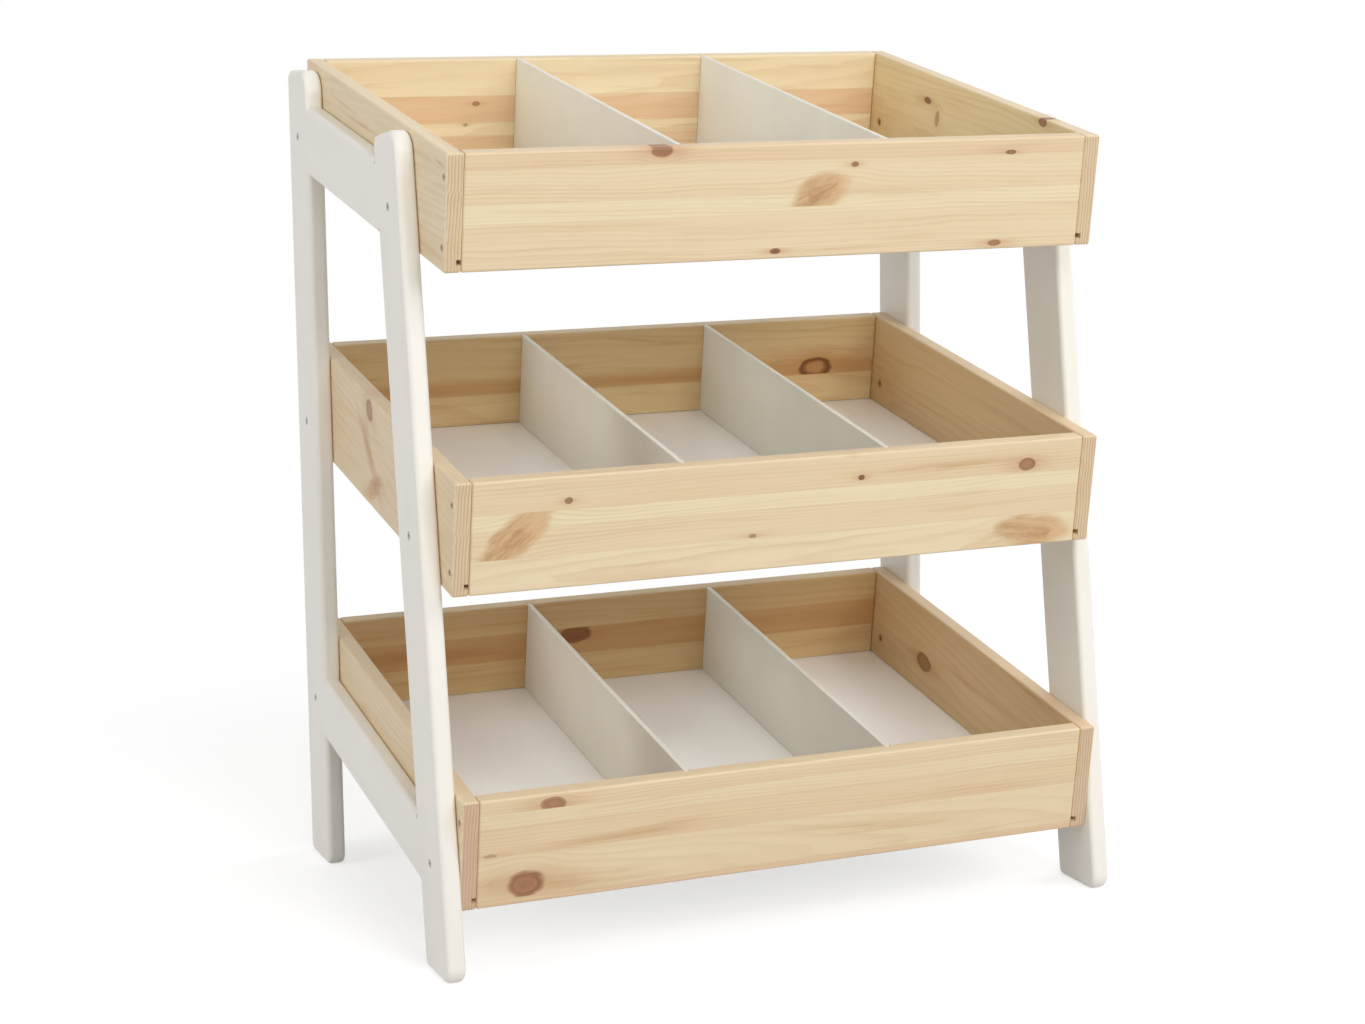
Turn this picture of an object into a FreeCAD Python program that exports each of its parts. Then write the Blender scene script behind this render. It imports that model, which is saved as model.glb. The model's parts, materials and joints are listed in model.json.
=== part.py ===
import FreeCAD, Part
import math
import os

os.makedirs("parts", exist_ok=True)

# The unit stands on the ground at z = 0 and faces -Y. Its origin is on the ground, under the middle.
# Lengths are in millimetres and angles in degrees.

# Trays: three alike boxes of pine board, one above the other, tipped down towards the front.
tray_names = ("bottom", "middle", "top")
tray_width = 650.0              # outside of the left board to outside of the right board
tray_depth = 466.0              # front face to rear face, along the tilted base
tray_height = 107.0
tray_tilt = 10.0
bottom_tray_lift = 62.0         # ground to the lowest tray's front lower edge
tray_spacing = 288.5            # straight up, from each tray to the next
board_thickness = 16.0
board_edge_round = 2.4

# Base sheet of a tray, held in a groove in all four boards.
sheet_thickness = 4.4
groove_rise = 7.0               # lower edge of a board to its groove
groove_depth = 5.0
groove_play = 0.6               # air above the sheet in its groove
sheet_edge_gap = 0.5            # edge of the sheet to the bottom of the groove

# Dividers, which stand on the base sheet in upright slots that are open at the rim.
divider_names = ("left", "right")
divider_thickness = 5.0
divider_edge_round = 1.0
slot_depth = 5.0
slot_play = 0.3                 # air at each face and each end of a divider

# Side frames: an upright rear leg and a leaning front leg, joined by two sloping rails.
side_names = ("left", "right")
leg_thickness = 18.0
leg_width = 70.0
leg_edge_round = 5.0
leg_top_front_round = 22.0
leg_top_back_round = 10.0
toe_round = 14.0                # front foot's front corner
heel_round = 7.0                # front foot's back corner
rear_foot_round = 11.0
rear_leg_drop = 11.5            # top tray's rear rim to the top of the rear leg
rear_leg_inset = 6.4            # trays' rear lower edge to the rear leg's back, level
front_leg_drop = 8.0            # top tray's rim to the middle of the front leg's square-cut top
front_leg_lean = 7.5
front_foot_reach = 20.8         # trays' front lower edge to the front foot's toe, level
upper_rail_width = 66.5
upper_rail_rise = 3.5           # underside of the top tray to the rail's lower edge
lower_rail_width = 60.0
lower_rail_rise = 5.0           # underside of the lowest tray to the rail's lower edge

# Glued dowels between the legs and the rails.
dowel_diameter = 8.0
dowel_length = 30.0
dowel_end_chamfer = 1.0
dowel_place_shares = (0.25, 0.75)   # of the rail's width
glue_gap = 0.05

# Bolts that hold each tray to the legs, and the threaded inserts that they turn into.
bolt_rise = 34.8                # underside of the tray to the bolt, along the board
bolt_diameter = 4.0
bolt_head_diameter = 8.0
bolt_head_lip = 0.5
bolt_head_height = 2.4
bolt_hole_gap = 0.2
bolt_end_gap = 3.0              # tip of the bolt to the inside of the tray
bolt_tip_length = 0.8
bolt_socket_width = 2.5
bolt_socket_depth = 1.6
bolt_socket_sides = 6
insert_diameter = 9.0
insert_length = 13.0
insert_chamfer = 0.5
thread_gap = 0.05

# Countersunk wood screws through the side boards into the ends of the front and rear boards.
screw_rises = (21.5, 84.5)      # underside of the tray to each screw, along the board
screw_diameter = 3.5
screw_length = 45.0
screw_head_diameter = 6.4
screw_head_lip = 0.4
screw_head_height = 2.2
screw_tip_length = 4.0
screw_sink = 0.8                # head below the face of the board
screw_cross_length = 3.4
screw_cross_width = 0.9
screw_cross_depth = 1.3

cut_overrun = 5.0               # how far a cut runs past the face that it opens
match_tolerance = 0.001         # within which two places or directions count as the same
full_turn = 360.0

lean_slope = math.tan(math.radians(front_leg_lean))
lean_cosine = math.cos(math.radians(front_leg_lean))
tilt_sine = math.sin(math.radians(tray_tilt))
tilt_cosine = math.cos(math.radians(tray_tilt))

# The part's depth runs from the rounded toe of the front feet to the trays' rear lower edge.
toe_reach = front_foot_reach - toe_round * (lean_slope + 1 / lean_cosine - 1)
heel_reach = tray_depth * tilt_cosine - board_edge_round * (tilt_cosine + tilt_sine - 1)
tray_front_y = (toe_reach - heel_reach) / 2

half_width = tray_width / 2
inner_half_width = half_width - board_thickness
sheet_top = groove_rise + sheet_thickness
rear_leg_back_y = tray_front_y + tray_depth * tilt_cosine - rear_leg_inset
rear_leg_front_y = rear_leg_back_y - leg_width
front_toe_y = tray_front_y - front_foot_reach
front_leg_level_width = leg_width / lean_cosine
frame_outside = half_width + leg_thickness


def vector(x, y, z):
    return FreeCAD.Vector(x, y, z)


def box(low, high):
    """A box from its lowest to its highest corner."""
    size = [top - bottom for bottom, top in zip(low, high)]
    return Part.makeBox(size[0], size[1], size[2], vector(*low))


def eased_box(low, high, rounding):
    """A box whose twelve edges are rounded."""
    block = box(low, high)
    return block.makeFillet(rounding, block.Edges)


def tray_lift(level):
    """Height of a tray's front lower edge above the ground."""
    return bottom_tray_lift + level * tray_spacing


def set_in_tray(shape, level):
    """Turn a shape drawn square to a tray to the tray's tilt, and lift it to its level."""
    placed = shape.copy()
    placed.rotate(vector(0, 0, 0), vector(1, 0, 0), tray_tilt)
    placed.translate(vector(0, tray_front_y, tray_lift(level)))
    return placed


def tray_point(along, up, level):
    """Y and Z of a point that lies along and up from a tray's front lower edge."""
    y = tray_front_y + along * tilt_cosine - up * tilt_sine
    z = tray_lift(level) + along * tilt_sine + up * tilt_cosine
    return y, z


def along_at_upright(y, up):
    """Distance along a tray at which the line at height up crosses the upright line at y."""
    return (y - tray_front_y + up * tilt_sine) / tilt_cosine


def along_at_lean(foot_y, up, level):
    """Distance along a tray at which the line at height up crosses a line with the front leg's lean."""
    rise = tray_lift(level) + up * tilt_cosine
    level_run = foot_y + rise * lean_slope - tray_front_y + up * tilt_sine
    return level_run / (tilt_cosine - tilt_sine * lean_slope)


def corner_cut(before, corner, after, rounding):
    """Start, middle and end of the arc that rounds one corner of an outline."""
    back = (before - corner).normalize()
    ahead = (after - corner).normalize()
    half_angle = back.getAngle(ahead) / 2
    run = rounding / math.tan(half_angle)
    inward = (back + ahead).normalize()
    middle = corner + inward * (rounding / math.sin(half_angle) - rounding)
    return corner + back * run, middle, corner + ahead * run


def plate(outline, x_low, thickness):
    """A plate across X. Its outline is a list of (y, z, corner rounding)."""
    corners = [vector(x_low, y, z) for y, z, rounding in outline]
    count = len(corners)
    arcs = []
    for index, (y, z, rounding) in enumerate(outline):
        corner = corners[index]
        if rounding > 0:
            arcs.append(corner_cut(corners[index - 1], corner, corners[(index + 1) % count], rounding))
        else:
            arcs.append((corner, corner, corner))
    edges = []
    for index, (start, middle, end) in enumerate(arcs):
        if outline[index][2] > 0:
            edges.append(Part.Arc(start, middle, end).toShape())
        edges.append(Part.LineSegment(end, arcs[(index + 1) % count][0]).toShape())
    return Part.Face(Part.Wire(edges)).extrude(vector(thickness, 0, 0))


def face_outline_edges(solid):
    """Edges of a plate that bound its two flat sides."""
    sides = (solid.BoundBox.XMin, solid.BoundBox.XMax)
    chosen = []
    for edge in solid.Edges:
        box_of_edge = edge.BoundBox
        flat = box_of_edge.XLength < match_tolerance
        if flat and any(abs(box_of_edge.XMin - side) < match_tolerance for side in sides):
            chosen.append(edge)
    return chosen


def turned(profile):
    """A solid turned about the X axis. Its profile is a list of (x, radius) from axis to axis."""
    points = [vector(x, 0, radius) for x, radius in profile]
    outline = Part.makePolygon(points + [points[0]])
    return Part.Face(outline).revolve(vector(0, 0, 0), vector(1, 0, 0), full_turn)


def rod(x_low, x_high, radius):
    """A plain round rod along X."""
    return turned([(x_low, 0), (x_low, radius), (x_high, radius), (x_high, 0)])


def countersunk(head_radius, lip, head_height, shank_radius, length, tip_length):
    """A fastener with a flat countersunk head at x = 0 and its tip at x = length."""
    return turned([
        (0, 0),
        (0, head_radius),
        (lip, head_radius),
        (head_height, shank_radius),
        (length - tip_length, shank_radius),
        (length, shank_radius / 2),
        (length, 0),
    ])


def from_outside(shape, side, x_outside):
    """Set a fastener drawn along +X so that it enters the given side of the unit from outside."""
    placed = shape.copy()
    if side == "right":
        placed.rotate(vector(0, 0, 0), vector(0, 0, 1), full_turn / 2)
        placed.translate(vector(x_outside, 0, 0))
    else:
        placed.translate(vector(-x_outside, 0, 0))
    return placed


def moved(shape, x, y, z):
    """A copy of a shape, shifted."""
    placed = shape.copy()
    placed.translate(vector(x, y, z))
    return placed


def cut_all(solid, tools):
    """Take a list of shapes out of a solid."""
    return solid.cut(Part.makeCompound(tools)) if tools else solid


def bolt_alongs(level):
    """Distances along a tray at which its bolts meet the middle of the front and rear legs."""
    front = along_at_lean(front_toe_y + front_leg_level_width / 2, bolt_rise, level)
    rear = along_at_upright((rear_leg_front_y + rear_leg_back_y) / 2, bolt_rise)
    return front, rear


def frame_bolt():
    """Flat-headed machine bolt with a hexagon socket, head outwards at x = 0."""
    length = leg_thickness + board_thickness - bolt_end_gap
    body = countersunk(bolt_head_diameter / 2, bolt_head_lip, bolt_head_height,
                       bolt_diameter / 2, length, bolt_tip_length)
    turn = math.radians(full_turn / bolt_socket_sides)
    corner_radius = bolt_socket_width / math.cos(turn / 2) / 2
    corners = []
    for corner in range(bolt_socket_sides):
        angle = turn * corner
        corners.append(vector(0, corner_radius * math.cos(angle), corner_radius * math.sin(angle)))
    socket = Part.Face(Part.makePolygon(corners + [corners[0]])).extrude(vector(bolt_socket_depth, 0, 0))
    return body.cut(socket)


def frame_bolt_hole():
    """Room for a frame bolt, from the outside of the leg to the inside of the tray."""
    widen = bolt_hole_gap
    hole = countersunk(bolt_head_diameter / 2 + thread_gap, bolt_head_lip, bolt_head_height,
                       bolt_diameter / 2 + widen, leg_thickness + board_thickness, 0)
    return hole.fuse(rod(-cut_overrun, 0, bolt_head_diameter / 2 + thread_gap))


def threaded_insert():
    """Threaded sleeve, flush with the inside of the tray, drawn from its outer end at x = 0."""
    radius = insert_diameter / 2
    body = turned([
        (0, 0),
        (0, radius - insert_chamfer),
        (insert_chamfer, radius),
        (insert_length, radius),
        (insert_length, 0),
    ])
    return body.cut(rod(-cut_overrun, insert_length + cut_overrun, bolt_diameter / 2 + thread_gap))


def corner_screw():
    """Wood screw with a cross recess, head outwards at x = 0."""
    body = countersunk(screw_head_diameter / 2, screw_head_lip, screw_head_height,
                       screw_diameter / 2, screw_length, screw_tip_length)
    half_length = screw_cross_length / 2
    half_width_of_arm = screw_cross_width / 2
    arms = [
        box((0, -half_length, -half_width_of_arm), (screw_cross_depth, half_length, half_width_of_arm)),
        box((0, -half_width_of_arm, -half_length), (screw_cross_depth, half_width_of_arm, half_length)),
    ]
    return cut_all(body, arms)


def corner_screw_hole():
    """Room for a corner screw, open at the face of the side board."""
    gap = glue_gap
    hole = countersunk(screw_head_diameter / 2 + gap, screw_head_lip, screw_head_height,
                       screw_diameter / 2 + gap, screw_length + gap, screw_tip_length)
    return hole.fuse(rod(-cut_overrun, 0, screw_head_diameter / 2 + gap))


def corner_screw_places():
    """Along and up of each corner screw of one side board."""
    alongs = (board_thickness / 2, tray_depth - board_thickness / 2)
    return [(along, up) for along in alongs for up in screw_rises]


def corner_screw_tools(side):
    """Holes of the corner screws of one side, square to the tray."""
    hole = from_outside(corner_screw_hole(), side, half_width - screw_sink)
    return [moved(hole, 0, along, up) for along, up in corner_screw_places()]


def groove(low, high):
    """Room for the base sheet's edge, between two corners given as (x, along)."""
    return box((low[0], low[1], groove_rise), (high[0], high[1], sheet_top + groove_play))


def divider_centres():
    """X of the middle of each divider, with equal compartments between them."""
    count = len(divider_names)
    room = (2 * inner_half_width - count * divider_thickness) / (count + 1)
    step = room + divider_thickness
    return [-inner_half_width + room + divider_thickness / 2 + step * index for index in range(count)]


def end_board(low_along, inner_face):
    """Front or rear board of a tray, from its front face and its inner face along the tray."""
    board = eased_box((-inner_half_width, low_along, 0),
                      (inner_half_width, low_along + board_thickness, tray_height), board_edge_round)
    outward = -1 if inner_face > low_along else 1
    open_side = inner_face - outward * cut_overrun
    near, far = sorted((inner_face + outward * groove_depth, open_side))
    tools = [groove((-half_width, near), (half_width, far))]
    near, far = sorted((inner_face + outward * slot_depth, open_side))
    half_slot = divider_thickness / 2 + slot_play
    for centre in divider_centres():
        tools.append(box((centre - half_slot, near, groove_rise),
                         (centre + half_slot, far, tray_height + cut_overrun)))
    for side in side_names:
        tools += corner_screw_tools(side)
    return cut_all(board, tools)


def side_span(side, near, far):
    """Lower and upper X of what lies between two distances from the middle, on one side."""
    sign = 1 if side == "right" else -1
    return sorted((sign * near, sign * far))


def side_board(side, level):
    """Left or right board of a tray, square to the tray, with its groove open at both ends."""
    low_x, high_x = side_span(side, inner_half_width, half_width)
    board = eased_box((low_x, 0, 0), (high_x, tray_depth, tray_height), board_edge_round)
    low_x, high_x = side_span(side, inner_half_width - cut_overrun, inner_half_width + groove_depth)
    tools = [groove((low_x, -cut_overrun), (high_x, tray_depth + cut_overrun))]
    tools += corner_screw_tools(side)
    bolt_hole = from_outside(frame_bolt_hole(), side, frame_outside)
    low_x, high_x = side_span(side, inner_half_width - cut_overrun, inner_half_width + insert_length)
    for along in bolt_alongs(level):
        tools.append(moved(bolt_hole, 0, along, bolt_rise))
        tools.append(moved(rod(low_x, high_x, insert_diameter / 2 + glue_gap), 0, along, bolt_rise))
    return cut_all(board, tools)


def base_sheet():
    """Thin sheet that lies in the four boards' grooves."""
    reach = groove_depth - sheet_edge_gap
    near = board_thickness - reach
    return box((-inner_half_width - reach, near, groove_rise),
               (inner_half_width + reach, tray_depth - near, sheet_top))


def divider(centre):
    """Thin upright board from the base sheet to the rim, its ends in the slots."""
    near = board_thickness - slot_depth + slot_play
    return eased_box((centre - divider_thickness / 2, near, sheet_top),
                     (centre + divider_thickness / 2, tray_depth - near, tray_height), divider_edge_round)


def fasteners_of_tray(level):
    """Corner screws, frame bolts and threaded inserts of one tray, square to the tray."""
    screws = []
    bolts = []
    inserts = []
    for side in side_names:
        screw = from_outside(corner_screw(), side, half_width - screw_sink)
        screws += [moved(screw, 0, along, up) for along, up in corner_screw_places()]
        bolt = from_outside(frame_bolt(), side, frame_outside)
        insert = from_outside(threaded_insert(), side, inner_half_width + insert_length)
        for along in bolt_alongs(level):
            bolts.append(moved(bolt, 0, along, bolt_rise))
            inserts.append(moved(insert, 0, along, bolt_rise))
    return screws, bolts, inserts


def leg_x_low(side):
    """Lower X of a side frame."""
    return side_span(side, half_width, frame_outside)[0]


def rail_sizes(rail):
    """Tray level, rise above the tray's underside, and width of a rail."""
    if rail == "upper":
        return len(tray_names) - 1, upper_rail_rise, upper_rail_width
    return 0, lower_rail_rise, lower_rail_width


def rail_ends(rail, up):
    """Along of a rail's front and rear end at one height in its width."""
    level = rail_sizes(rail)[0]
    front = along_at_lean(front_toe_y + front_leg_level_width, up, level)
    rear = along_at_upright(rear_leg_front_y, up)
    return front, rear


def rail_plate(side, rail):
    """Sloping rail between the legs, its long edges rounded."""
    level, rise, width = rail_sizes(rail)
    top = rise + width
    low_front, low_rear = rail_ends(rail, rise)
    top_front, top_rear = rail_ends(rail, top)
    outline = []
    for along, up in ((low_front, rise), (low_rear, rise), (top_rear, top), (top_front, top)):
        y, z = tray_point(along, up, level)
        outline.append((y, z, 0))
    board = plate(outline, leg_x_low(side), leg_thickness)
    slope = vector(0, tilt_cosine, tilt_sine)
    long_edges = [edge for edge in board.Edges
                  if abs(abs(edge.tangentAt(edge.FirstParameter).dot(slope)) - 1) < match_tolerance]
    return board.makeFillet(leg_edge_round, long_edges)


def rail_dowels(side, gap):
    """Dowels at both ends of both rails. The gap widens and lengthens them for their holes."""
    radius = dowel_diameter / 2 + gap
    half_length = dowel_length / 2 + gap
    chamfer = dowel_end_chamfer
    middle_x = leg_x_low(side) + leg_thickness / 2
    rods = []
    for rail in ("upper", "lower"):
        level, rise, width = rail_sizes(rail)
        for share in dowel_place_shares:
            up = rise + width * share
            for along in rail_ends(rail, up):
                peg = turned([
                    (-half_length, 0),
                    (-half_length, radius - chamfer),
                    (chamfer - half_length, radius),
                    (half_length - chamfer, radius),
                    (half_length, radius - chamfer),
                    (half_length, 0),
                ])
                peg.rotate(vector(0, 0, 0), vector(0, 0, 1), full_turn / 4)
                peg.translate(vector(middle_x, along, up))
                rods.append(set_in_tray(peg, level))
    return rods


def frame_bolt_tools(side):
    """Bolt holes of all trays through one side frame."""
    hole = from_outside(frame_bolt_hole(), side, frame_outside)
    tools = []
    for level in range(len(tray_names)):
        for along in bolt_alongs(level):
            tools.append(set_in_tray(moved(hole, 0, along, bolt_rise), level))
    return tools


def leg_board(side, outline):
    """Leg with rounded edges, left square where a rail's end lands on it."""
    x_low = leg_x_low(side)
    square = plate(outline, x_low, leg_thickness)
    leg = square.makeFillet(leg_edge_round, face_outline_edges(square))
    for rail in ("upper", "lower"):
        level, rise, width = rail_sizes(rail)
        front, rear = rail_ends(rail, rise + width / 2)
        strip = box((x_low, front - leg_width / 2, rise + leg_edge_round),
                    (x_low + leg_thickness, rear + leg_width / 2, rise + width - leg_edge_round))
        leg = leg.fuse(square.common(set_in_tray(strip, level)))
    leg = leg.removeSplitter()
    return cut_all(leg, frame_bolt_tools(side) + rail_dowels(side, glue_gap))


def rear_leg(side):
    """Upright leg at the rear."""
    rim_z = tray_point(tray_depth, tray_height, len(tray_names) - 1)[1]
    leg_top = rim_z - rear_leg_drop
    outline = [
        (rear_leg_front_y, 0, rear_foot_round),
        (rear_leg_back_y, 0, rear_foot_round),
        (rear_leg_back_y, leg_top, leg_top_back_round),
        (rear_leg_front_y, leg_top, leg_top_front_round),
    ]
    return leg_board(side, outline)


def front_leg(side):
    """Leaning leg at the front, its foot cut level and its top cut square."""
    middle_foot_y = front_toe_y + front_leg_level_width / 2
    top_level = len(tray_names) - 1
    rim_along = along_at_lean(middle_foot_y, tray_height, top_level)
    leg_top = tray_point(rim_along, tray_height, top_level)[1] - front_leg_drop
    middle_top_y = middle_foot_y + leg_top * lean_slope
    lean_sine = math.sin(math.radians(front_leg_lean))
    half_y = leg_width / 2 * lean_cosine
    half_z = leg_width / 2 * lean_sine
    outline = [
        (front_toe_y, 0, toe_round),
        (front_toe_y + front_leg_level_width, 0, heel_round),
        (middle_top_y + half_y, leg_top - half_z, leg_top_back_round),
        (middle_top_y - half_y, leg_top + half_z, leg_top_front_round),
    ]
    return leg_board(side, outline)


def save(node, shape):
    """Write one node, as one solid or a group of separate solids."""
    solids = shape if isinstance(shape, list) else shape.Solids
    result = solids[0] if len(solids) == 1 else Part.makeCompound(solids)
    result.exportStep("parts/" + node + ".step")
    print(node, len(solids), round(sum(solid.Volume for solid in solids)))


def build_side_frame(side):
    """Legs, rails and dowels of one side."""
    save(side + "_rear_leg", rear_leg(side))
    save(side + "_front_leg", front_leg(side))
    for rail in ("upper", "lower"):
        save(side + "_" + rail + "_rail", cut_all(rail_plate(side, rail), rail_dowels(side, glue_gap)))
    save(side + "_frame_dowels", rail_dowels(side, 0))


def build_tray(level):
    """Boards, base sheet, dividers and fasteners of one tray."""
    name = tray_names[level]
    rear_along = tray_depth - board_thickness
    save(name + "_front_board", set_in_tray(end_board(0, board_thickness), level))
    save(name + "_rear_board", set_in_tray(end_board(rear_along, rear_along), level))
    for side in side_names:
        save(name + "_" + side + "_board", set_in_tray(side_board(side, level), level))
    save(name + "_base_sheet", set_in_tray(base_sheet(), level))
    for divider_name, centre in zip(divider_names, divider_centres()):
        save(name + "_" + divider_name + "_divider", set_in_tray(divider(centre), level))
    screws, bolts, inserts = fasteners_of_tray(level)
    save(name + "_corner_screws", [set_in_tray(screw, level) for screw in screws])
    save(name + "_frame_bolts", [set_in_tray(bolt, level) for bolt in bolts])
    save(name + "_threaded_inserts", [set_in_tray(insert, level) for insert in inserts])


for side_name in side_names:
    build_side_frame(side_name)
for tray_level in range(len(tray_names)):
    build_tray(tray_level)
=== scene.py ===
import json
import math

import bpy
from mathutils import Matrix, Vector


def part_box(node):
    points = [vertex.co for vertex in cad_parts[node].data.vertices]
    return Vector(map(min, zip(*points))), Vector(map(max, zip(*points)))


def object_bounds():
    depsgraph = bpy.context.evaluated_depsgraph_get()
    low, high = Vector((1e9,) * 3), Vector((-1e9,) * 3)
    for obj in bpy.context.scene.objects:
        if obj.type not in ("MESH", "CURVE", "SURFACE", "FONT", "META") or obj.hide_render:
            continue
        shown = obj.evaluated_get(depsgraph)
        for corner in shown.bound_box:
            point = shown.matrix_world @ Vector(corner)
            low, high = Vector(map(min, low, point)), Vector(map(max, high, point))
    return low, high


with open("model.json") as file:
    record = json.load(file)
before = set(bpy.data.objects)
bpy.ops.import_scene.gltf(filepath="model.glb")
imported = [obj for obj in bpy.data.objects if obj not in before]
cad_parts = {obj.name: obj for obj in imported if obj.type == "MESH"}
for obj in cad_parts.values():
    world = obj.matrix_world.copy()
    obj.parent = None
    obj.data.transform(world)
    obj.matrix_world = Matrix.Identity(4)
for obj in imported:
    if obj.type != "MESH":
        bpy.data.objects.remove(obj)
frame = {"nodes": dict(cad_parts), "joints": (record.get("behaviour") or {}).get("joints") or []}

# A child-height storage unit: three pine trays, tipped forward, between two white side frames.
# Places on a tray are given in millimetres: along a board, and up from the tray's underside.
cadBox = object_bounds()
nodes = frame["nodes"]
mm = 1000.0                      # in a metre: the materials' patterns are worked out in millimetres
trayNames = ("bottom", "middle", "top")
sideNames = ("left", "right")
print("frame loaded:", len(nodes), "nodes")


class Wire:
    # One output of a shader node. Python's own operators on it add Math nodes.
    def __init__(self, graph, socket):
        self.graph = graph
        self.socket = socket

    def maths(self, operation, *values, **settings):
        return self.graph.add("ShaderNodeMath", dict(operation=operation, **settings), *values)

    def __add__(self, other):
        return self.maths("ADD", self, other)

    def __sub__(self, other):
        return self.maths("SUBTRACT", self, other)

    def __rsub__(self, other):
        return self.maths("SUBTRACT", other, self)

    def __mul__(self, other):
        return self.maths("MULTIPLY", self, other)

    def __truediv__(self, other):
        return self.maths("DIVIDE", self, other)

    def __rtruediv__(self, other):
        return self.maths("DIVIDE", other, self)

    def __pow__(self, other):
        return self.maths("POWER", self, other)

    __radd__ = __add__
    __rmul__ = __mul__

    def clamped(self):
        return self.maths("ADD", self, 0.0, use_clamp=True)

    def of(self, operation, *values):
        return self.maths(operation, self, *values)

    # Another output of the same node, by its name.
    def beside(self, output):
        return Wire(self.graph, self.socket.node.outputs[output])


class Graph:
    # The node tree of a new material or world.
    def __init__(self, owner):
        owner.use_nodes = True
        self.owner = owner
        self.tree = owner.node_tree
        self.tree.nodes.clear()

    # Adds a node of a type, sets its settings first and then its inputs, in order or by name.
    def add(self, kind, settings=None, *values, output=0, **named):
        node = self.tree.nodes.new(kind)
        for key, value in (settings or {}).items():
            if key == "stops":
                self.setStops(node.color_ramp, value)
            else:
                setattr(node, key, value)
        for key, value in list(enumerate(values)) + list(named.items()):
            if value is None:
                continue
            socket = node.inputs[key if isinstance(key, int) else key.replace("_", " ")]
            if isinstance(value, Wire):
                self.tree.links.new(value.socket, socket)
            else:
                socket.default_value = value
        return Wire(self, node.outputs[output])

    # Stops are (place, colour) pairs, after the way of passing from one to the next.
    def setStops(self, ramp, value):
        ramp.interpolation, stops = value
        while len(ramp.elements) > 1:
            ramp.elements.remove(ramp.elements[0])
        for index, (place, colour) in enumerate(stops):
            element = ramp.elements[0] if index == 0 else ramp.elements.new(place)
            element.position = place
            element.color = (*colour, 1.0)

    # Colour a where the factor is 0, colour b where it is 1.
    def mix(self, factor, a, b, blend="MIX"):
        a, b = [(*value, 1.0) if isinstance(value, tuple) else value for value in (a, b)]
        settings = {"data_type": "RGBA", "blend_type": blend, "clamp_factor": True}
        otherKinds = (None,) * 5     # the node's inputs for vectors and numbers
        return self.add("ShaderNodeMix", settings, factor, *otherKinds, a, b, output=2)

    # How far the shaded point is from an origin, along each of some unit directions, in millimetres.
    def measures(self, directions, origin=Vector()):
        point = self.add("ShaderNodeTexCoord", output="Object")
        dot = {"operation": "DOT_PRODUCT"}
        return [self.add("ShaderNodeVectorMath", dot, point, tuple(direction * mm), output="Value")
                - direction.dot(origin) * mm for direction in directions]

    # How squarely the surface faces a unit direction: 1 towards it, -1 away from it.
    def facing(self, direction):
        normal = self.add("ShaderNodeTexCoord", output="Normal")
        return self.add("ShaderNodeVectorMath", {"operation": "DOT_PRODUCT"}, normal, tuple(direction),
                        output="Value")

    def noise(self, a, b, c, detail=2.0, roughness=0.5):
        place = self.add("ShaderNodeCombineXYZ", None, a, b, c)
        return self.add("ShaderNodeTexNoise", {"noise_dimensions": "3D"}, place, Scale=1.0,
                        Detail=detail, Roughness=roughness)

    # Noise over three measures. A row holds its scale per millimetre in each, detail and roughness.
    def mottle(self, measures, row, seed=0.0, seedAxis=0):
        *scales, detail, roughness = row
        place = [measure * scale for measure, scale in zip(measures, scales)]
        if seed:
            place[seedAxis] = place[seedAxis] + seed
        return self.noise(*place, detail=detail, roughness=roughness)

    # Smooth step from 0 at low to 1 at high.
    def ease(self, value, low, high):
        return self.add("ShaderNodeMapRange", {"interpolation_type": "SMOOTHSTEP"},
                        value, low, high, 0.0, 1.0)

    # Ends the material in one glossy surface shader, with a relief in millimetres.
    def finish(self, colour, roughness, relief, reliefDepth, **constants):
        normal = self.add("ShaderNodeBump", None, Strength=1.0, Distance=reliefDepth / mm, Height=relief)
        shader = self.add("ShaderNodeBsdfPrincipled", None, Base_Color=colour, Roughness=roughness,
                          Normal=normal, **constants)
        return self.end("ShaderNodeOutputMaterial", shader)

    def end(self, kind, surface):
        output = self.tree.nodes.new(kind)
        self.tree.links.new(surface.socket, output.inputs["Surface"])
        return self.owner


# Linear colour of a colour given as it looks on screen, 0 to 255.
def screen(*levels):
    shares = [level / 255.0 for level in levels]
    return tuple(share / 12.92 if share <= 0.04045 else ((share + 0.055) / 1.055) ** 2.4
                 for share in shares)


# Gives a piece its one material.
def wear(nodeName, material):
    mesh = nodes[nodeName].data
    mesh.materials.clear()
    mesh.materials.append(material)


# Directions of the tilted trays, read from the way that the dividers lift out.
upTray = Vector(frame["joints"][0]["axis"]).normalized()
alongTray = Vector((0.0, upTray.z, -upTray.y))
across = Vector((1.0, 0.0, 0.0))


# Front lower edge and height of each tray, solved from the box round its left board, whose level
# size is depth * cos + height * sin, and whose upright size is depth * sin + height * cos.
def trayPlace(name):
    low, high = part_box(name + "_left_board")
    sine, cosine = alongTray.z, alongTray.y
    level, upright = high.y - low.y, high.z - low.z
    height = (upright * cosine - level * sine) / (cosine * cosine - sine * sine)
    return {"corner": Vector((0.0, low.y + height * sine, low.z)), "height": height * mm}


trays = {name: trayPlace(name) for name in trayNames}

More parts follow.
